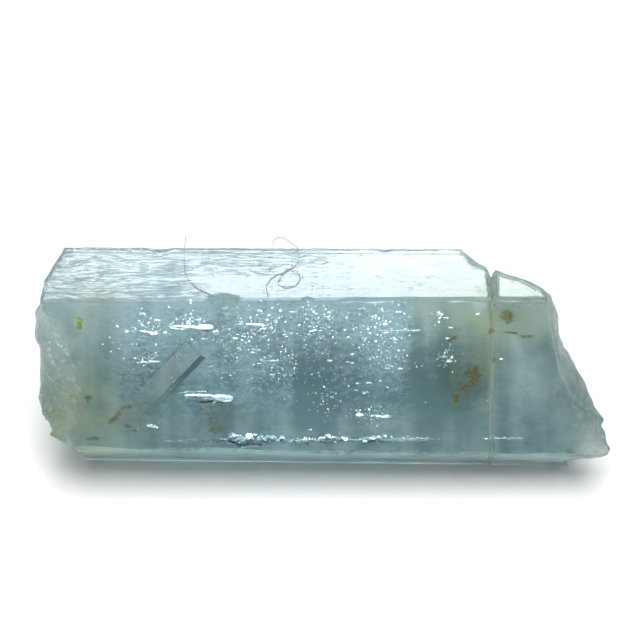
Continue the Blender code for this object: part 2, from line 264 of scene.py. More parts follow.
class Finish:
    """A material under construction: one Principled shader and the nodes that feed it."""

    def __init__(self, name, colour, roughness, **constants):
        self.material = bpy.data.materials.new(name)
        self.material.use_nodes = True
        self.tree = self.material.node_tree
        self.shader = self.tree.nodes["Principled BSDF"]
        self.output = self.tree.nodes["Material Output"]
        self.feed({"Base Color": (*colour, 1.0), "Roughness": roughness})
        self.feed({key.replace("_", " "): value for key, value in constants.items()})
        self.place = self.node("ShaderNodeTexCoord", {}, {}, "Object")

    def plug(self, socket, value):
        """Links a Term to a socket, or sets the socket to a plain value."""
        if isinstance(value, Term):
            self.tree.links.new(value.socket, socket)
        else:
            socket.default_value = value

    def feed(self, values):
        """Plugs values into the shader's own sockets, by name."""
        for name, value in values.items():
            self.plug(self.shader.inputs[name], value)

    def node(self, kind, settings, sockets, output=0):
        """Adds a node, with its settings made before its sockets are filled, and returns one output."""
        made = self.tree.nodes.new(kind)
        for name, value in settings.items():
            setattr(made, name, value)
        for key, value in sockets.items():
            self.plug(made.inputs[key], value)
        return Term(self, made.outputs[output])

    def scaled(self, scale, shift=(0.0, 0.0, 0.0)):
        """Object coordinates in millimetres, stretched by scale."""
        sockets = {"Vector": self.place, "Scale": [MM_PER_METRE * s for s in scale], "Location": shift}
        return self.node("ShaderNodeMapping", {}, sockets)

    def grain(self, scale, detail=2.0, roughness=0.5, distortion=0.0, shift=(0.0, 0.0, 0.0)):
        """Soft noise around 0.5; scale is how many lumps there are to the millimetre along each axis."""
        sockets = {
            "Vector": self.scaled(scale, shift),
            "Scale": 1.0,
            "Detail": detail,
            "Roughness": roughness,
            "Distortion": distortion,
        }
        return self.node("ShaderNodeTexNoise", {}, sockets)

    def cells(self, scale):
        """How far each point is from the nearest of many scattered ones."""
        sockets = {"Vector": self.scaled(scale), "Scale": 1.0}
        return self.node("ShaderNodeTexVoronoi", {"feature": "F1"}, sockets, "Distance")

    def step(self, value, low, high):
        """0 below low, 1 above high, and smooth between; turned round if low is above high."""
        sockets = {"Value": value, "From Min": low, "From Max": high}
        return self.node("ShaderNodeMapRange", {"interpolation_type": "SMOOTHSTEP"}, sockets)

    def axis(self, name):
        """One object coordinate, in millimetres."""
        return self.node("ShaderNodeSeparateXYZ", {}, {"Vector": self.place}, name) * MM_PER_METRE

    def attribute(self, name):
        """A number painted on the mesh's vertices."""
        return self.node("ShaderNodeAttribute", {"attribute_name": name}, {}, "Fac")

    def blend(self, mask, first, second):
        """A colour between first, where mask is 0, and second, where it is 1."""
        sockets = {"Factor": mask, 6: as_colour(first), 7: as_colour(second)}
        return self.node("ShaderNodeMix", {"data_type": "RGBA"}, sockets, 2)

    def blob(self, x, y, z, radius, soft=0.5):
        """1 inside a ball round a point in millimetres, fading to 0 at its radius."""
        sockets = {0: self.scaled((1, 1, 1)), 1: (x, y, z)}
        away = self.node("ShaderNodeVectorMath", {"operation": "DISTANCE"}, sockets, "Value")
        return self.step(away, radius, radius * (1.0 - soft))

    def bump(self, height, distance):
        """A Normal from a height field; distance is the height's size in millimetres."""
        sockets = {"Height": height, "Distance": distance * MM, "Strength": 1.0}
        return self.node("ShaderNodeBump", {}, sockets)


def as_colour(value):
    """A colour socket's value, with its fourth number where it is a plain colour."""
    return value if isinstance(value, Term) else (*value, 1.0)


def crystal_finish(colours):
    """Clear beryl: smooth on the prism faces, frosted on the breaks, etched on the hidden faces."""
    finish = Finish("clear_beryl", (1, 1, 1), 0.05, IOR=1.58, Transmission_Weight=1.0)
    broken, rear = finish.attribute("broken"), finish.attribute("rear")
    x, y, z = (finish.axis(name) for name in "XYZ")

    pits = finish.step(finish.cells((2.2, 3.0, 3.0)), 0.08, 0.16)
    dashes = finish.step(finish.grain((0.8, 8.0, 8.0), detail=3.0, roughness=0.6), 0.47, 0.56)
    frost = finish.grain((7.0, 7.0, 7.0), detail=3.0, roughness=0.75)
    waves = finish.grain((0.4, 4.0, 4.0), detail=3.0, roughness=0.6)

    top = finish.step(z, 9.0, 9.15)
    back_rim = finish.step(x, -0.5, -3.5) * finish.step(y, 1.1, 1.6)
    etched = finish.step(x + (waves - 0.5) * 5.0, -5.0, -9.0).at_least(back_rim) * top
    lined = etched.at_least(finish.step(y, 0.2, 1.4) * finish.step(x, 1.0, -3.0) * top)
    dent = finish.blob(-7.3, 0.2, 9.2, 1.2, 1.0)
    relief = dashes * (lined * 0.017 + 0.0006) + pits * top * 0.016
    relief = relief + frost * (broken * 0.08 + top * 0.0035)
    relief = relief + waves * (etched * 0.014 + rear * 0.05 + 0.0005) - dent * 0.05

    pale = finish.blend(broken, (0.97, 0.99, 1.0), (0.93, 0.95, 0.94))
    roughness = 0.07 + (broken * 0.20).at_least(rear * 0.5).at_least(etched * 0.06)
    finish.feed({"Base Color": pale, "Roughness": roughness, "Normal": finish.bump(relief, 1.0)})

    absorb = {"Color": (*colours.body, 1.0), "Density": colours.depth_of_colour}
    volume = finish.node("ShaderNodeVolumeAbsorption", {}, absorb)
    finish.plug(finish.output.inputs["Volume"], volume)
    return finish.material


def mirror_finish():
    """A flat cavity's wall, seen from inside the beryl, throws light back like a mirror."""
    finish = Finish("cavity_wall", (0.95, 0.98, 1.0), 0.2, Metallic=1.0)
    mottled = finish.step(finish.grain((2.0, 5.0, 5.0), detail=2.0), 0.35, 0.65)
    colour = finish.blend(mottled, (0.98, 1.0, 1.0), (0.70, 0.86, 0.95))
    finish.feed({"Base Color": colour, "Roughness": 0.10 + mottled * 0.22})
    return finish.material


def flake_finish():
    """The smallest cavities scatter light as white grains."""
    finish = Finish("cavity_grains", (0.9, 0.95, 1.0), 0.4)
    mottled = finish.grain((8.0, 8.0, 8.0), detail=2.0)
    finish.feed({"Base Color": finish.blend(mottled, (1.0, 1.0, 1.0), (0.80, 0.92, 0.98))})
    return finish.material


def frost_finish(rust):
    """The bruised skin of a break: white where it is crushed, brown where iron has soaked in."""
    finish = Finish("frosted_break", (0.78, 0.83, 0.82), 0.85)
    fine = finish.grain((4.0, 4.0, 4.0), detail=4.0, roughness=0.65)
    coarse = finish.grain((1.6, 1.6, 1.6), detail=4.0, distortion=0.6)
    soaked = finish.blob(8.6, -0.5, 9.0, 2.2) + finish.blob(-12.2, -4.2, 3.2, 3.4)
    soaked = (soaked * finish.step(coarse, 0.36, 0.56)).at_most(1.0)
    specks = finish.step(fine, 0.56, 0.66) * finish.blob(-12.6, -2.9, 7.2, 2.0, 1.0)
    crushed = finish.blend(coarse, (0.47, 0.60, 0.48), (0.82, 0.95, 0.83))
    crushed = finish.blend(finish.step(finish.axis("X"), -9.0, -5.5) * 0.85, crushed, (0.30, 0.38, 0.34))
    cover = 0.12 + finish.step(fine, 0.40, 0.70) * 0.26 + soaked * 0.28 + specks * 0.8
    finish.feed({
        "Base Color": finish.blend(soaked * 0.85, crushed, rust),
        "Alpha": cover * finish.attribute("broken"),
        "Normal": finish.bump(fine, 0.06),
    })
    return finish.material


def cloud_and_painted_light_finish(name, opaque, shift):
    """Cloudy beryl: soft, and coloured by the zone it lies in, whose lightness carries painted shade and
    painted highlights.
    """
    finish = Finish(name, (0.2, 0.3, 0.32), 0.8)
    speckled, brown = finish.attribute("speckled"), finish.attribute("brown")
    streaks = finish.grain((1.4, 9.0, 9.0), detail=2.0, roughness=0.65, shift=(0.0, shift, shift)) - 0.5
    mottle = finish.grain((2.6, 3.8, 3.8), detail=4.0, roughness=0.75, shift=(shift, 0.0, shift)) - 0.5
    # The vertex lightness, painted shade and highlights included, with the cloud's own streaks and mottling
    # on top.
    light = finish.attribute("light") + streaks * 0.12 + mottle * (0.4 + speckled * 1.3)
    pale = finish.blend(speckled, (0.76, 0.98, 0.98), (0.65, 0.94, 1.0))
    grey = finish.blend(finish.step(light, 0.0, 0.9), (0.16, 0.34, 0.365), pale)
    iron = finish.node("ShaderNodeVectorMath", {"operation": "MULTIPLY"}, {0: grey, 1: (0.91, 0.81, 0.52)})
    cover = brown * 0.2 - finish.attribute("light") * 0.12 + opaque
    finish.feed({"Base Color": finish.blend(brown, grey, iron), "Alpha": cover * finish.attribute("fade")})
    return finish.material


def veil_finish(name, colour, share, scale):
    """A healed crack, or white sheets painting the highlights along the lower edge: dots and threads of tiny
    cavities on a sheet that is clear between them.
    """
    finish = Finish(name, colour, 0.55)
    dots = finish.step(finish.cells([s * 2.2 for s in scale]), 0.42, 0.18)
    clouds = finish.step(finish.grain(scale, detail=4.0, roughness=0.6), 0.42, 0.66)
    fade = finish.attribute("fade")
    thickness = (0.35 + dots * 0.65) * clouds * fade * share
    shade = finish.blend(clouds, [0.8 * c for c in colour], colour)
    finish.feed({"Base Color": shade, "Alpha": thickness})
    return finish.material


# How stains are coloured: material's name to (darkest, lightest, how much they hide).
STAIN_COLOURS = {
    "iron_stain": ((0.15, 0.13, 0.02), (0.36, 0.33, 0.08), 0.8),
    "rusty_thread": ((0.30, 0.24, 0.12), (0.62, 0.58, 0.42), 0.9),
    "crack_filling": ((0.48, 0.49, 0.29), (0.64, 0.65, 0.44), 0.34),
    "green_grain": ((0.30, 0.60, 0.01), (0.85, 0.88, 0.03), 0.9),
}


def stain_finish(name):
    """A stain or a filling: ragged at its rim, and blotched between two shades."""
    dark, light, cover = STAIN_COLOURS[name]
    finish = Finish(name, dark, 0.8)
    blotch = finish.step(finish.grain((5.0, 5.0, 5.0), detail=4.0), 0.35, 0.65)
    ragged = finish.grain((7.0, 7.0, 7.0), detail=5.0, roughness=0.75)
    finish.feed({
        "Base Color": finish.blend(blotch, dark, light),
        "Alpha": finish.step(finish.attribute("fade") + (ragged - 0.5) * 1.8, 0.15, 1.0) * cover,
    })
    return finish.material


def bar_finish():
    """The enclosed crystal: pale and greenish to look through, with a painted shade along its lower side
    that also makes it more opaque there.
    """
    finish = Finish("enclosed_crystal", (0.42, 0.50, 0.45), 0.5)
    cloud = finish.step(finish.grain((0.6, 0.6, 0.6), detail=2.0), 0.3, 0.7)
    face = finish.blend(cloud, (0.56, 0.68, 0.62), (0.74, 0.86, 0.80))
    shaded_side = finish.attribute("shaded_side")
    finish.feed({
        "Base Color": finish.blend(shaded_side, face, (0.07, 0.18, 0.19)),
        "Alpha": (0.24 + cloud * 0.12 + shaded_side * 0.45) * finish.attribute("fade"),
        "Roughness": 0.5 + cloud * 0.2,
    })
    return finish.material


def fibre_finish():
    """Lint: grey, and slightly uneven along each fibre."""
    finish = Finish("lint", (0.12, 0.13, 0.14), 0.7)
    along = finish.grain((9.0, 9.0, 9.0), detail=2.0)
    colour = finish.blend(along, (0.12, 0.13, 0.14), (0.36, 0.38, 0.39))
    finish.feed({"Base Color": colour, "Normal": finish.bump(along, 0.01)})
    return finish.material


def finished(name, bm, material, smooth_angle=None):
    """Turns a bmesh into a piece that rides with the crystal."""
    for face in bm.faces:
        face.smooth = True
    mesh = bpy.data.meshes.new(name)
    bm.to_mesh(mesh)
    bm.free()
    if smooth_angle is not None:
        mesh.set_sharp_from_angle(angle=math.radians(smooth_angle))
    mesh.materials.append(material)
    obj = bpy.data.objects.new(name, mesh)
    bpy.context.scene.collection.objects.link(obj)
    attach(obj, "root")
    return obj


def paint(bm, name, value_of):
    """Writes a number on every vertex of a bmesh, for a material to read."""
    layer = bm.verts.layers.float.get(name) or bm.verts.layers.float.new(name)
    for v in bm.verts:
        v[layer] = value_of(v)


def ramp(value, low, high):
    """0 below low, 1 above high, and smooth between; turned round if low is above high."""
    t = min(1.0, max(0.0, (value - low) / (high - low)))
    return t * t * (3.0 - 2.0 * t)


def depth_in_prism(at):
    """How far a point, in millimetres, lies inside the unbroken prism's nearest face."""
    nearest = math.inf
    for face in range(len(CORNERS)):
        start, end = corner(face, at.x), corner(face + 1, at.x)
        along = (end - start).normalized()
        away = (Vector((at.y, at.z)) - start).dot(Vector((-along.y, along.x)))
        nearest = min(nearest, away)
    return nearest


# Directions in which a point is tested for lying in the solid. Neither runs along one of its faces.
PROBES = (Vector((0.13, 0.21, 0.97)), Vector((-0.17, 0.11, -0.98)))
# The thickness of clear beryl that is left over every sheet.
SKIN = 0.03


def leaves_solid(tree, start, way):
    """Whether the first face met from start is met from within."""
    place, normal, _, _ = tree.ray_cast(start, way)
    return place is not None and normal.dot(way) > 0.0


def hold_inside(bm, reach):
    """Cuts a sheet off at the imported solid's surface, and fades it out over its last reach millimetres."""
    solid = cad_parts[NODE].data
    tree = BVHTree.FromPolygons([v.co for v in solid.vertices], [f.vertices for f in solid.polygons])
    fade = bm.verts.layers.float["fade"]
    outside = set()
    for v in bm.verts:
        place, normal, _, away = tree.find_nearest(v.co)
        clear = not any(leaves_solid(tree, v.co, way) for way in PROBES)
        if clear or (v.co - place).dot(normal) > 0.0 or away < SKIN * MM:
            outside.add(v)
        else:
            v[fade] *= ramp(away / MM, SKIN, reach)
    lost = [f for f in bm.faces if any(v in outside for v in f.verts)]
    bmesh.ops.delete(bm, geom=lost, context="FACES")


def divided_solid(longest):
    """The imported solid, merged and divided until no edge is longer than longest."""
    bm = bmesh.new()
    bm.from_mesh(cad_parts[NODE].data)
    bmesh.ops.remove_doubles(bm, verts=bm.verts, dist=1e-7)
    for _ in range(6):
        long_edges = [e for e in bm.edges if e.calc_length() > longest]
        if not long_edges:
            break
        bmesh.ops.subdivide_edges(bm, edges=long_edges, cuts=1)
        bmesh.ops.triangulate(bm, faces=[f for f in bm.faces if len(f.verts) > 3])
    bm.normal_update()
    return bm


def even_out(bm, verts, times):
    """Moves vertices half-way to the middle of their neighbours, again and again."""
    axes = {"use_axis_x": True, "use_axis_y": True, "use_axis_z": True}
    for _ in range(times):
        bmesh.ops.smooth_vert(bm, verts=verts, factor=0.5, **axes)


def soften(bm):
    """Closes the hairline in the front, and rounds the rims where the breaks meet it, the left one most."""
    broken = bm.verts.layers.float["broken"]
    front = [v for v in bm.verts if v.normal.y < -0.15 and 0.05 * MM < v.co.z]
    rims = [v for v in front if v[broken] > 0.1 and v.co.z < 8.7 * MM]
    low = [v for v in front if v.co.z < 8.4 * MM]
    even_out(bm, [v for v in low if abs(v.co.x / MM - crack_at(v.co.z / MM)) < 0.12], 25)
    even_out(bm, [v for v in rims if v.co.x < 0.0], 20)
    even_out(bm, [v for v in rims if v.co.x > 9.0 * MM], 2)
    bm.normal_update()


def roughen(bm, relief):
    """Pushes the broken surfaces in and out, and leaves the grown faces nearly flat."""
    broken = bm.verts.layers.float["broken"]
    moves = []
    for v in bm.verts:
        at = v.co * MM_PER_METRE
        lumps = noise.fractal(at * 1.1, 0.9, 2.0, 4)
        steps = abs(noise.noise(Vector((at.x * 2.5, at.y * 1.2, at.z * 1.2))))
        swell = noise.noise(Vector((at.x * 0.15, at.y * 0.7, at.z * 0.7)))
        push = v[broken] * relief * (lumps + 0.8 * steps) + (1.0 - v[broken]) * 0.0015 * swell
        moves.append(v.co - v.normal * push * MM)
    for v, place in zip(bm.verts, moves):
        if v.co.z > 1e-5:
            v.co = place


class CrystalColours(bpy.types.PropertyGroup):
    """What the beryl and its breaks are coloured"""

    body: bpy.props.FloatVectorProperty(
        name="Body Colour", description="What the beryl lets through", subtype="COLOR",
        size=3, min=0.0, max=1.0, default=(0.58, 0.81, 0.85),
    )
    depth_of_colour: bpy.props.FloatProperty(
        name="Depth of Colour", description="How quickly the body colour builds up", default=100.0, min=0.0
    )
    rust: bpy.props.FloatVectorProperty(
        name="Rust", description="Iron stain on broken surfaces", subtype="COLOR",
        size=3, min=0.0, max=1.0, default=(0.26, 0.31, 0.17),
    )


class CrystalSizes(bpy.types.PropertyGroup):
    """How finely and how roughly the crystal is made"""

    finest_edge: bpy.props.FloatProperty(
        name="Finest Edge", description="Longest edge left on the divided surface",
        default=0.24 * MM, unit="LENGTH", precision=6,
    )
    break_relief: bpy.props.FloatProperty(
        name="Break Relief", description="Height of the lumps on the breaks, in millimetres", default=0.040
    )
    seed: bpy.props.IntProperty(name="Seed", description="Scatter of the inclusions", default=7)


class CRYSTAL_OT_body(bpy.types.Operator):
    """Make the crystal's own surface"""

    bl_idname = "crystal.body"
    bl_label = "Crystal Body"

    def execute(self, context):
        sizes, colours = context.scene.crystal_sizes, context.scene.crystal_colours
        bm = divided_solid(sizes.finest_edge)

        def brokenness(v):
            """1 on a break, 0 on a grown face, and between the two where a break creeps over the rim."""
            at = v.co * MM_PER_METRE
            rear = v.normal.y > 0.2 or v.normal.z < -0.2
            sunk = ramp(depth_in_prism(at), 0.17, 0.24) if rear else ramp(depth_in_prism(at), 0.085, 0.15)
            stray = 0.9 * noise.fractal(at * 0.9, 1.0, 2.0, 3)
            left_end, right_end = -12.2 - 0.25 * abs(at.z - 4.5), 9.4 + (HEIGHT - at.z) * 0.4
            creep = 1.0 - ramp(at.x + stray, left_end - 0.4, left_end + 1.8)
            creep += ramp(at.x + stray, right_end - 0.9, right_end + 0.5)
            return max(ramp(abs(v.normal.x), 0.22, 0.45), sunk, 0.75 * creep * (v.normal.y < -0.5))

        paint(bm, "broken", brokenness)
        paint(bm, "rear", lambda v: max(ramp(v.normal.y, 0.3, 0.6), ramp(-v.normal.z, 0.2, 0.6)))
        soften(bm)
        roughen(bm, sizes.break_relief)
        bm.normal_update()
        layer = bm.verts.layers.float["broken"]
        for e in bm.edges:
            keep = 50.0 if min(v[layer] for v in e.verts) > 0.3 else 8.0
            e.smooth = e.calc_face_angle(0.0) < math.radians(keep)
        skin = bm.copy()
        body = finished("crystal_body", bm, crystal_finish(colours))
        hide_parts(NODE)

        layer = skin.verts.layers.float["broken"]
        whole = [f for f in skin.faces if min(v[layer] for v in f.verts) < 0.05]
        bmesh.ops.delete(skin, geom=whole, context="FACES")
        places = [v.co + v.normal * 0.012 * MM for v in skin.verts]
        for v, place in zip(skin.verts, places):
            v.co = place
        finished("frosted_breaks", skin, frost_finish(colours.rust), smooth_angle=40)
        return {"FINISHED"}


def unit_ball(subdivisions):
    """A ball of radius 1 mm, to be copied many times."""
    bm = bmesh.new()
    bmesh.ops.create_icosphere(bm, subdivisions=subdivisions, radius=MM)
    mesh = bpy.data.meshes.new("ball")
    bm.to_mesh(mesh)
    bm.free()
    return mesh


def add_grain(bm, ball, at, size, turn):
    """A copy of the ball, squashed to a size in millimetres along its own axes, and turned."""
    copy = ball.copy()
    squash = Matrix.Diagonal([0.5 * s for s in size] + [1.0])
    copy.transform(Matrix.Translation(at) @ Euler(turn).to_matrix().to_4x4() @ squash)
    bm.from_mesh(copy)
    bpy.data.meshes.remove(copy)


def scattered(dice, clouds):
    """Points (x, down) gathered in clouds, kept on the wide front face."""
    for x, down, half_x, half_down, count in clouds:
        for _ in range(count):
            at = (x + dice.gauss(0, half_x * 0.5), down + dice.gauss(0, half_down * 0.5))
            if 0.1 < at[1] < FRONT_REACH:
                yield at


class CRYSTAL_OT_plates(bpy.types.Operator):
    """Make the flat cavities that catch the light"""

    bl_idname = "crystal.plates"
    bl_label = "Flat Cavities"

    def execute(self, context):
        dice = random.Random(context.scene.crystal_sizes.seed)
        bm, lens, flake, crumb = bmesh.new(), unit_ball(3), unit_ball(2), unit_ball(1)
        for x, down, depth, length, width, lean in PLATES:
            for _ in range(4):
                aside, below = dice.gauss(0, length * 0.16), dice.gauss(0, width * 0.25)
                at = under_front(x + aside, down + below, depth)
                turn = (GLINT_TILT + dice.gauss(0, 0.015), dice.gauss(0, 0.02), -lean)
                size = (length * dice.uniform(0.4, 0.8), width * dice.uniform(0.7, 1.3), 0.006)
                add_grain(bm, lens, at, size, turn)
        for x, length, width in EDGE_PLATES:
            for _ in range(20):
                at = under_front(x + dice.gauss(0, length * 0.3), dice.gauss(7.12, 0.4 * width), 1.05)
                turn = (GLINT_TILT + dice.gauss(0, 0.03), dice.gauss(0, 0.03), dice.gauss(0, 0.15))
                size = (length * dice.uniform(0.10, 0.45), width * dice.uniform(0.3, 1.3), 0.004)
                add_grain(bm, flake, at, size, turn)
        for at in scattered(dice, CLOUDS):
            turn = (GLINT_TILT + dice.gauss(0, 0.06), dice.gauss(0, 0.05), dice.gauss(0, 0.12))
            size = [min(limit, 0.038 * dice.paretovariate(1.9)) for limit in (0.35, 0.14)] + [0.004]
            deep = 0.25 + 0.12 * at[1]
            add_grain(bm, crumb, under_front(*at, dice.uniform(deep, deep + 0.4)), size, turn)
        finished("flat_cavities", bm, mirror_finish(), smooth_angle=60)
        return {"FINISHED"}


def thread(points, radius):
    """A tube through points in metres, as a curve object that is used once and thrown away."""
    curve = bpy.data.curves.new("thread", "CURVE")
    curve.dimensions = "3D"
    curve.bevel_depth = radius * MM
    curve.bevel_resolution = 1
    curve.use_fill_caps = True
    spline = curve.splines.new("BEZIER")
    spline.bezier_points.add(len(points) - 1)
    for knot, place in zip(spline.bezier_points, points):
        knot.co = place
        knot.handle_left_type = knot.handle_right_type = "AUTO"
    return bpy.data.objects.new("thread", curve)


def add_threads(bm, context, threads):
    """Bakes curve objects into a bmesh and removes them."""
    for obj in threads:
        context.scene.collection.objects.link(obj)
    graph = context.evaluated_depsgraph_get()
    for obj in threads:
        bm.from_mesh(obj.evaluated_get(graph).to_mesh())
        bpy.data.objects.remove(obj)


class CRYSTAL_OT_grains(bpy.types.Operator):
    """Make the clouds and threads of tiny white cavities"""

    bl_idname = "crystal.grains"
    bl_label = "Cavity Grains"

    def execute(self, context):
        dice = random.Random(context.scene.crystal_sizes.seed + 1)
        bm, crumb = bmesh.new(), unit_ball(1)
        for at in scattered(dice, CLOUDS):
            turn = [dice.uniform(0, 6.3) for _ in range(3)]
            girth = min(0.12, 0.025 + dice.expovariate(45.0))
            size = (girth * dice.uniform(1.0, 1.5), girth, girth * 0.6)
            add_grain(bm, crumb, under_front(*at, dice.uniform(0.15, 1.1)), size, turn)
        made = []
        for points in THREADS:
            depth = dice.uniform(0.3, 0.7)
            path = [under_front(x, down, depth + dice.gauss(0, 0.05)) for x, down in points]
            made.append(thread(path, 0.008))
        add_threads(bm, context, made)
        finished("cavity_grains", bm, flake_finish(), smooth_angle=60)
        return {"FINISHED"}


def zone_at(x, down):
    """How light and how brown the cloud is at a place on the wide front face; its lightness holds painted
    shade and painted highlights besides the cloud's own tone.
    """
    # Lighter just below the top edge, then a painted shade that deepens down the face, and a painted
    # highlight that brightens it again towards the lower edge.
    light = 0.57 - 0.08 * down + 0.18 * max(0.0, down - 5.2) + 0.12 * ramp(down, 1.2, 0.2)
    brown = 0.0
    for at_x, at_down, half_x, half_down, lighter, browner in ZONES:
        near = 1.0 - ramp(math.hypot((x - at_x) / half_x, (down - at_down) / half_down), 0.3, 1.3)
        light, brown = light + near * lighter, brown + near * browner
    return light, min(1.0, brown)


class CRYSTAL_OT_clouds(bpy.types.Operator):
    """Make the cloudy zones beneath the front, with painted shade and painted highlights in their lightness
    """

    bl_idname = "crystal.clouds"
    bl_label = "Cloudy Zones"

    def execute(self, context):
        for name, face, start, end, depth, opaque, lighter in CLOUD_LAYERS:
            bm = bmesh.new()
            names = ("light", "brown", "speckled", "fade")
            layers = {key: bm.verts.layers.float.new(key) for key in names}
            browner, rust = (0.2 if face == TOP else 1.0), 0.2 * (face == SKIRT)
            for v in bmesh.ops.create_grid(bm, x_segments=160, y_segments=34, size=0.5)["verts"]:
                x, down = lerp(-13.6, 13.2, v.co.x + 0.5), lerp(start, end, v.co.y + 0.5)
                light, brown = zone_at(x, {FRONT: down, SKIRT: FRONT_REACH, TOP: 1.0}[face])
                wisps = noise.fractal(Vector((x * 0.6, down * 1.3, depth * 3.0)), 1.0, 2.0, 3)
                bands = noise.fractal(Vector((x * 1.1, down * 0.12, depth)), 1.0, 2.0, 3)
                # Lightness: the painted shade and highlights of zone_at, the layer's painted lightening, and
                # the cloud's own wisps and bands.
                v[layers["light"]] = light + lighter + 0.16 * wisps + 0.26 * bands
                v[layers["brown"]] = brown * (1.0 + 0.5 * wisps) * browner + rust
                v[layers["speckled"]] = ramp(x, -10.5, -8.5) * ramp(x, 4.6, 3.6) * ramp(down, 6.5, 4.5)
                v[layers["fade"]] = 1.0 - ramp(down, 2.0, 3.0) * (face == TOP)
                sway = 0.2 * noise.noise(Vector((x * 0.3, down * 0.4, depth)))
                v.co = under_face(face, x, down + SIGHT_SLIP * depth * (face == FRONT), depth + sway)
            hold_inside(bm, 0.10)
            finished(name, bm, cloud_and_painted_light_finish(name, opaque, depth * 3.0), smooth_angle=60)
        return {"FINISHED"}


def sheet(bm, centre, width, height, turn, waviness, cuts=14):
    """A wavy grid, round in outline once its fade is read: width along its own X, height along its Y."""
    lay = Matrix.Translation(centre) @ Euler(turn).to_matrix().to_4x4()
    fade = bm.verts.layers.float.get("fade") or bm.verts.layers.float.new("fade")
    made = bmesh.ops.create_grid(bm, x_segments=cuts, y_segments=cuts, size=0.5)["verts"]
    for v in made:
        reach = math.hypot(v.co.x, v.co.y) * 2.0
        v[fade] = 1.0 - ramp(reach, 0.15, 1.0)
        place = Vector((v.co.x * width, v.co.y * height, 0.0))
        place.z = waviness * noise.noise(place * 0.6 + centre * 900.0)
        v.co = lay @ (place * MM)
    bmesh.ops.recalc_face_normals(bm, faces=bm.faces)


# Healed cracks, and white sheets that paint highlights along the lower front edge: (name, colour, share,
# pattern scale, ((x, down, depth, width, height, turn), ...)).
VEILS = (
    ("milky_veils", (0.64, 0.82, 0.92), 0.75, (1.4, 2.6, 2.6), (
        (2.9, 1.6, 0.9, 2.6, 3.6, (FRONT_TILT, 0.0, 0.0)),
        (-8.0, 2.0, 1.1, 4.0, 4.0, (FRONT_TILT, 0.1, 0.0)),
        (-2.6, 1.6, 1.2, 4.4, 3.4, (FRONT_TILT + 0.15, 0.0, 0.1)),
        (-5.4, 5.0, 0.9, 3.4, 1.2, (FRONT_TILT, 0.0, 0.0)),
        (2.2, 5.9, 1.0, 2.6, 1.2, (FRONT_TILT, 0.0, 0.0)),
        (9.8, 4.3, 1.2, 2.6, 2.0, (FRONT_TILT, 0.0, 0.1)),
    )),
    ("grey_green_veils", (0.36, 0.40, 0.26), 0.35, (0.8, 1.0, 1.0), (
        (7.0, 3.2, 1.3, 3.2, 6.5, (FRONT_TILT, 0.1, 0.0)),
        (9.6, 1.2, 0.8, 3.4, 3.0, (FRONT_TILT, 0.1, 0.0)),
        (-11.2, 5.4, 0.8, 3.0, 4.0, (FRONT_TILT, 0.3, 0.0)),
        (-9.4, 6.2, 1.0, 3.2, 1.8, (FRONT_TILT, 0.1, 0.0)),
    )),
    # White sheets behind the lower front edge: a painted highlight where the edge catches the light.
    ("painted_edge_highlights", (0.95, 1.0, 1.0), 1.4, (1.8, 3.0, 3.0), tuple(
        (x, 7.1, 1.25, length * 1.8, 0.5 + width, (FRONT_TILT, 0.0, 0.0))
        for x, length, width in EDGE_PLATES
    )),
)


class CRYSTAL_OT_veils(bpy.types.Operator):
    """Make the healed cracks, and the white sheets that paint highlights along the lower front edge"""

    bl_idname = "crystal.veils"
    bl_label = "Healed Cracks"

    def execute(self, context):
        for name, colour, share, scale, sheets in VEILS:
            bm = bmesh.new()
            for x, down, depth, width, height, turn in sheets:
                sheet(bm, under_front(x, down, depth), width, height, turn, 0.35)
            hold_inside(bm, 0.35)
            finished(name, bm, veil_finish(name, colour, share, scale), smooth_angle=60)
        return {"FINISHED"}


# The enclosed bar: the middles of its ends as (x, down), its depth, its width and thickness, and its roll.
BAR_ENDS, BAR_DEPTH = ((-9.9, 6.6), (-6.05, 2.45)), 0.75
BAR_SECTION, BAR_ROLL = (1.1, 0.6), math.radians(-30)
# Its edges that show as lines: points as (share of its length, side, face).
BAR_OUTLINES = (
    ((-0.1, 1, 1), (0.5, 1, 1), (0.5, -1, 1), (-0.3, -1, 1)),
    ((0.5, -1, 1), (0.5, -1, -1), (0.05, -1, -1)),
)


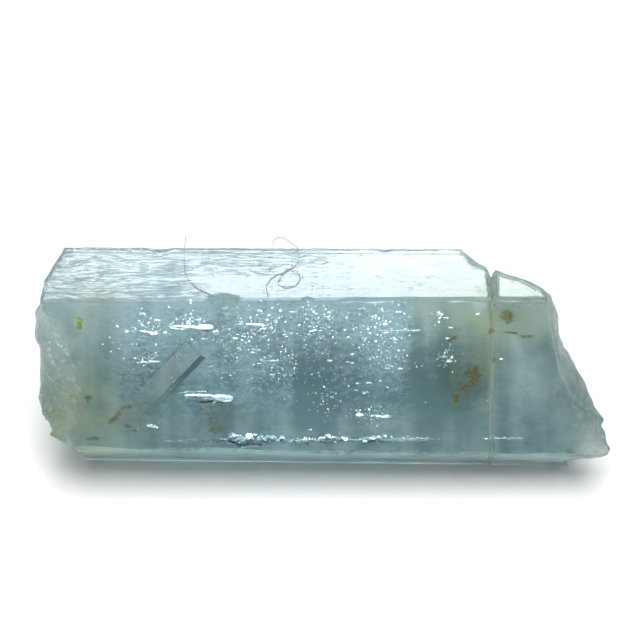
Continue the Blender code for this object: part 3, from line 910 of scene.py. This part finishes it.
class CRYSTAL_OT_bar(bpy.types.Operator):
    """Make the bar-shaped crystal that the beryl grew around"""

    bl_idname = "crystal.bar"
    bl_label = "Enclosed Crystal"

    def execute(self, context):
        low, high = (under_front(x, down, BAR_DEPTH) for x, down in BAR_ENDS)
        along, outward = (high - low).normalized(), Vector((0.0, -0.866, 0.5))
        size = Vector(((high - low).length / MM, *BAR_SECTION))
        axes = Matrix((along, outward.cross(along), outward)).transposed().to_4x4()
        lay = Matrix.Translation((low + high) / 2) @ axes @ Matrix.Rotation(BAR_ROLL, 4, "X")
        lay = lay @ Matrix.Scale(MM, 4)

        bm = bmesh.new()
        bmesh.ops.create_cube(bm, size=1.0, matrix=Matrix.Diagonal((*size, 1.0)))
        lengthwise = [e for e in bm.edges if abs(e.verts[0].co.x - e.verts[1].co.x) > 0.5]
        bmesh.ops.subdivide_edges(bm, edges=lengthwise, cuts=16, use_grid_fill=True)
        rims = [e for e in bm.edges if e.calc_face_angle() > 1.0]
        bmesh.ops.bevel(bm, geom=rims, offset=0.03, affect="EDGES", segments=1, profile=0.5, material=-1)
        bmesh.ops.split_edges(bm, edges=[e for e in bm.edges if e.calc_face_angle(0.0) > 0.5])
        bm.normal_update()
        # The painted shade: on one long side, over the bar's upper part.
        paint(bm, "shaded_side", lambda v: ramp(-v.normal.y, 0.4, 0.9) * ramp(v.co.x / size.x, -0.1, 0.3))

        def fade_of(v):
            return ramp(v.co.x / size.x, -0.5, 0.1) * ramp(v.normal.z - v.normal.y, -0.2, 0.3)

        paint(bm, "fade", fade_of)
        bmesh.ops.transform(bm, verts=bm.verts, matrix=lay)
        finished("enclosed_bar", bm, bar_finish(), smooth_angle=30)

        made = []
        for run in BAR_OUTLINES:
            corners = [lay @ Vector((x * size.x, y * size.y / 2, z * size.z / 2)) for x, y, z in run]
            made += [thread(pair, 0.011) for pair in zip(corners, corners[1:])]
        bm = bmesh.new()
        add_threads(bm, context, made)
        line = Finish("bar_outline", (0.06, 0.12, 0.12), 0.6)
        finished("bar_outline", bm, line.material, smooth_angle=60)
        return {"FINISHED"}


# Iron stain: (x, down, depth, length, height, lean).
STAINS = (
    (8.05, 1.60, 0.20, 0.50, 0.55, 0.0),
    (8.15, 3.10, 0.20, 0.35, 0.50, 0.0),
    (8.80, 0.85, 0.30, 1.20, 1.2, 0.2),
    (9.75, 1.90, 0.25, 1.30, 0.36, 0.0),
    (9.0, 1.70, 0.25, 1.6, 0.20, -0.1),
    (7.30, 4.05, 0.35, 1.2, 0.60, 0.6),
    (6.85, 4.50, 0.35, 1.8, 0.45, 0.3),
    (6.40, 5.10, 0.35, 0.60, 1.30, 0.15),
    (7.1, 3.7, 0.35, 1.6, 0.9, 0.5),
    (6.2, 2.0, 0.35, 0.9, 0.40, 0.3),
    (-10.1, 6.1, 0.25, 0.75, 0.4, 0.6),
    (-9.75, 5.75, 0.25, 0.55, 0.4, 0.2),
    (-9.55, 5.45, 0.25, 0.50, 0.4, 0.2),
    (-9.35, 6.35, 0.25, 0.55, 0.4, -0.3),
    (-9.0, 6.6, 0.25, 0.45, 0.3, -0.3),
    (-9.2, 5.35, 0.25, 0.50, 0.4, 0.5),
    (-11.0, 7.0, 0.25, 1.1, 0.4, 0.0),
    (-11.2, 4.9, 0.20, 0.8, 0.6, 0.0),
    (-11.58, 1.28, 0.16, 0.5, 0.45, 0.0),
    (-5.15, 6.6, 0.8, 1.1, 0.8, 0.2),
)
# The yellow-green grain, as patches: (x, down, size).
GREEN_PATCHES = ((-11.68, 0.88, 0.40), (-11.55, 0.98, 0.50), (-11.66, 1.16, 0.35))
# Rust-coloured threads near the lower left, each through the points (x, down).
RUSTY_THREADS = (
    ((-6.0, 5.45), (-5.7, 5.55), (-5.5, 5.8), (-5.2, 5.75)),
    ((-5.9, 5.8), (-5.5, 6.0), (-5.1, 5.9), (-4.9, 6.2)),
    ((-5.8, 5.2), (-5.3, 5.4), (-4.9, 5.45)),
    ((-5.6, 6.2), (-5.2, 6.3), (-4.8, 6.1)),
)


def front_patch(bm, dice, x, down, depth, length, height, lean):
    """A ragged patch lying under the front face, leaning by an angle in the face's own plane."""
    turn = Euler((FRONT_TILT, 0.0, 0.0)).to_matrix() @ Matrix.Rotation(lean, 3, "Z")
    waviness = 0.1 * dice.uniform(0.5, 1.5)
    sheet(bm, under_front(x, down, depth), length, height, turn.to_euler(), waviness, cuts=8)


def stain_crack():
    """The sheet that lines the crack inside, and the filling that shows where it meets the faces."""
    bm = bmesh.new()
    centre = Vector((CRACK_X - 0.5, 0.1, 4.4)) * MM
    sheet(bm, centre, 8.4, 7.2, (0.0, math.radians(90), math.radians(-14)), 0.5, cuts=20)
    hold_inside(bm, 0.35)
    lining = veil_finish("crack_sheet", (0.52, 0.52, 0.38), 0.45, (1.2, 1.2, 1.2))
    finished("crack_sheet", bm, lining, smooth_angle=60)

    bm = bmesh.new()
    for face, reach in ((FRONT, 7.85), (SKIRT, 2.6), (TOP, 2.0)):
        for v in bmesh.ops.create_grid(bm, x_segments=3, y_segments=60, size=0.5)["verts"]:
            run = (v.co.y + 0.5) * reach
            down, depth = (3.3 - run, 0.42) if face == TOP else (run, 0.03)
            wander = 0.05 * noise.noise(Vector((down * 1.5, face, 0.0)))
            height = {FRONT: HEIGHT - FALL * down, SKIRT: WAIST - FALL * down, TOP: HEIGHT}[face]
            v.co = under_face(face, crack_at(height) + wander + v.co.x * 0.08, down, depth)
    paint(bm, "fade", lambda v: 0.75)
    finished("crack_filling", bm, stain_finish("crack_filling"), smooth_angle=60)


class CRYSTAL_OT_stains(bpy.types.Operator):
    """Make the iron stains, the filled crack and the yellow-green grain"""

    bl_idname = "crystal.stains"
    bl_label = "Stains"

    def execute(self, context):
        dice = random.Random(context.scene.crystal_sizes.seed + 2)
        bm = bmesh.new()
        for patch in STAINS:
            front_patch(bm, dice, *patch)
        fade = bm.verts.layers.float["fade"]
        for v in bm.verts:
            v[fade] *= 0.8 if v.co.x < 0.0 else 1.0
        finished("iron_stains", bm, stain_finish("iron_stain"), smooth_angle=60)

        bm = bmesh.new()
        made = [thread([under_front(*at, 0.8) for at in points], 0.022) for points in RUSTY_THREADS]
        add_threads(bm, context, made)
        paint(bm, "fade", lambda v: 0.7)
        finished("rusty_threads", bm, stain_finish("rusty_thread"), smooth_angle=60)

        stain_crack()

        bm = bmesh.new()
        for x, down, size in GREEN_PATCHES:
            front_patch(bm, dice, x, down, 0.15, size, size, 0.0)
        finished("green_grain", bm, stain_finish("green_grain"), smooth_angle=60)
        return {"FINISHED"}


# The two loose fibres, the second in two runs, as points (x, y, height over the top face).
FIBRES = (
    (
        (-6.55, 2.60, 0.30), (-6.60, 2.20, 0.12), (-6.60, 1.40, 0.04), (-6.50, 0.40, 0.03),
        (-6.05, -0.30, 0.03), (-5.30, -0.80, 0.03), (-4.70, -1.15, 0.04), (-4.40, -1.45, -0.30),
    ),
    (
        (-2.40, 2.35, 0.05), (-2.30, 2.55, 0.15), (-2.00, 2.60, 0.30), (-1.60, 2.45, 0.15),
        (-1.20, 2.05, 0.05), (-1.15, 1.40, 0.03), (-1.60, 0.75, 0.03), (-2.30, 0.35, 0.03),
        (-2.65, -0.20, 0.03), (-2.60, -0.85, 0.03),
    ),
    (
        (-1.90, 0.85, 0.05), (-1.20, 0.60, 0.08), (-1.10, 0.10, 0.05), (-1.50, -0.30, 0.05),
        (-2.10, -0.10, 0.05), (-2.00, 0.30, 0.08),
    ),
)


class CRYSTAL_OT_lint(bpy.types.Operator):
    """Make the loose fibres on the top face"""

    bl_idname = "crystal.lint"
    bl_label = "Lint"

    def execute(self, context):
        bm = bmesh.new()
        paths = [[Vector((x, y, HEIGHT + over)) * MM for x, y, over in points] for points in FIBRES]
        add_threads(bm, context, [thread(path, 0.020) for path in paths])
        finished("lint_fibres", bm, fibre_finish(), smooth_angle=60)
        return {"FINISHED"}


class StudioLight(bpy.types.PropertyGroup):
    """How bright each light is"""

    window: bpy.props.FloatProperty(
        name="Window", description="Radiance of the lamp behind", default=11.2, min=0.0
    )
    overhead: bpy.props.FloatProperty(
        name="Overhead", description="Radiance of the soft box above", default=4.5, min=0.0
    )
    room: bpy.props.FloatProperty(
        name="Room", description="Radiance of the surroundings", default=0.32, min=0.0
    )


# The camera looks down by CAMERA_DIP at AIM, from CAMERA_AWAY, and takes in VIEW_WIDTH there.
CAMERA_DIP, CAMERA_AWAY, VIEW_WIDTH, SENSOR_WIDTH = math.radians(50), 350.0, 30.72, 36.0
AIM = Vector((-0.12, 0.0, 6.42))
# Lamps: (setting, direction from the crystal, distance, width, height), in metres.
LAMPS = (
    ("window", (0.0, 0.643, 0.766), 0.5, 0.20, 0.08),
    ("overhead", (0.0, 0.05, 1.0), 0.6, 0.55, 0.55),
)
# The floor's radius, in metres, and how far below the crystal it lies.
FLOOR_RADIUS, FLOOR_DROP = 1.5, 0.02


def lay_floor(scene):
    """A wide disc of pale paper."""
    bm = bmesh.new()
    bmesh.ops.create_circle(bm, cap_ends=True, segments=64, radius=FLOOR_RADIUS)
    mesh = bpy.data.meshes.new("floor")
    bm.to_mesh(mesh)
    bm.free()
    mesh.materials.append(Finish("white_paper", (0.9, 0.9, 0.9), 0.9).material)
    floor = bpy.data.objects.new("floor", mesh)
    scene.collection.objects.link(floor)
    floor.location.z = -FLOOR_DROP * MM


def hang_lamp(scene, name, toward, distance, width, height, radiance):
    """A soft box that faces the crystal from the direction toward."""
    light = bpy.data.lights.new(name, "AREA")
    light.shape = "RECTANGLE"
    light.size, light.size_y = width, height
    light.energy = radiance * math.pi * width * height
    lamp = bpy.data.objects.new(name, light)
    scene.collection.objects.link(lamp)
    direction = Vector(toward).normalized()
    lamp.location = direction * distance
    lamp.rotation_euler = (-direction).to_track_quat("-Z", "Y").to_euler()


def light_room(scene, radiance):
    """Even white light from all round."""
    world = bpy.data.worlds.new("room")
    world.use_nodes = True
    background = world.node_tree.nodes["Background"]
    background.inputs["Color"].default_value = (1.0, 1.0, 1.0, 1.0)
    background.inputs["Strength"].default_value = radiance
    scene.world = world


def place_camera(scene):
    """A far camera that looks down at the front and the top face."""
    camera = bpy.data.cameras.new("camera")
    camera.sensor_width = SENSOR_WIDTH
    camera.lens = SENSOR_WIDTH * CAMERA_AWAY / VIEW_WIDTH
    camera.clip_start = MM
    eye = bpy.data.objects.new("camera", camera)
    scene.collection.objects.link(eye)
    looking = Vector((0.0, math.cos(CAMERA_DIP), -math.sin(CAMERA_DIP)))
    eye.location = AIM * MM - looking * (CAMERA_AWAY * MM)
    eye.rotation_euler = looking.to_track_quat("-Z", "Y").to_euler()
    scene.camera = eye


class CRYSTAL_OT_stage(bpy.types.Operator):
    """Make the floor, the lamps and the camera"""

    bl_idname = "crystal.stage"
    bl_label = "Stage"

    def execute(self, context):
        scene = context.scene
        lay_floor(scene)
        for name, toward, distance, width, height in LAMPS:
            hang_lamp(scene, name, toward, distance, width, height, getattr(scene.studio_light, name))
        light_room(scene, scene.studio_light.room)
        place_camera(scene)
        scene.view_settings.view_transform = "Standard"
        scene.cycles.use_denoising = True
        return {"FINISHED"}


OPERATORS = (
    CRYSTAL_OT_body,
    CRYSTAL_OT_plates,
    CRYSTAL_OT_grains,
    CRYSTAL_OT_clouds,
    CRYSTAL_OT_veils,
    CRYSTAL_OT_bar,
    CRYSTAL_OT_stains,
    CRYSTAL_OT_lint,
    CRYSTAL_OT_stage,
)


class CRYSTAL_PT_panel(bpy.types.Panel):
    """Lists the settings and the steps in the sidebar"""

    bl_label = "Aquamarine Crystal"
    bl_idname = "CRYSTAL_PT_panel"
    bl_space_type = "VIEW_3D"
    bl_region_type = "UI"
    bl_category = "Crystal"

    def draw(self, context):
        for slot in GROUPS:
            group = getattr(context.scene, slot)
            for name in group.__annotations__:
                self.layout.prop(group, name)
        for operator in OPERATORS:
            self.layout.operator(operator.bl_idname)


GROUPS = {"crystal_colours": CrystalColours, "crystal_sizes": CrystalSizes, "studio_light": StudioLight}
CLASSES = (*GROUPS.values(), *OPERATORS, CRYSTAL_PT_panel)


def register():
    for cls in CLASSES:
        bpy.utils.register_class(cls)
    for name, group in GROUPS.items():
        setattr(bpy.types.Scene, name, bpy.props.PointerProperty(type=group))


def unregister():
    for name in GROUPS:
        delattr(bpy.types.Scene, name)
    for cls in reversed(CLASSES):
        bpy.utils.unregister_class(cls)


def main():
    """Makes every piece and the stage."""
    register()
    for operator in OPERATORS:
        getattr(bpy.ops.crystal, operator.bl_idname.split(".")[1])()


if __name__ == "__main__":
    main()
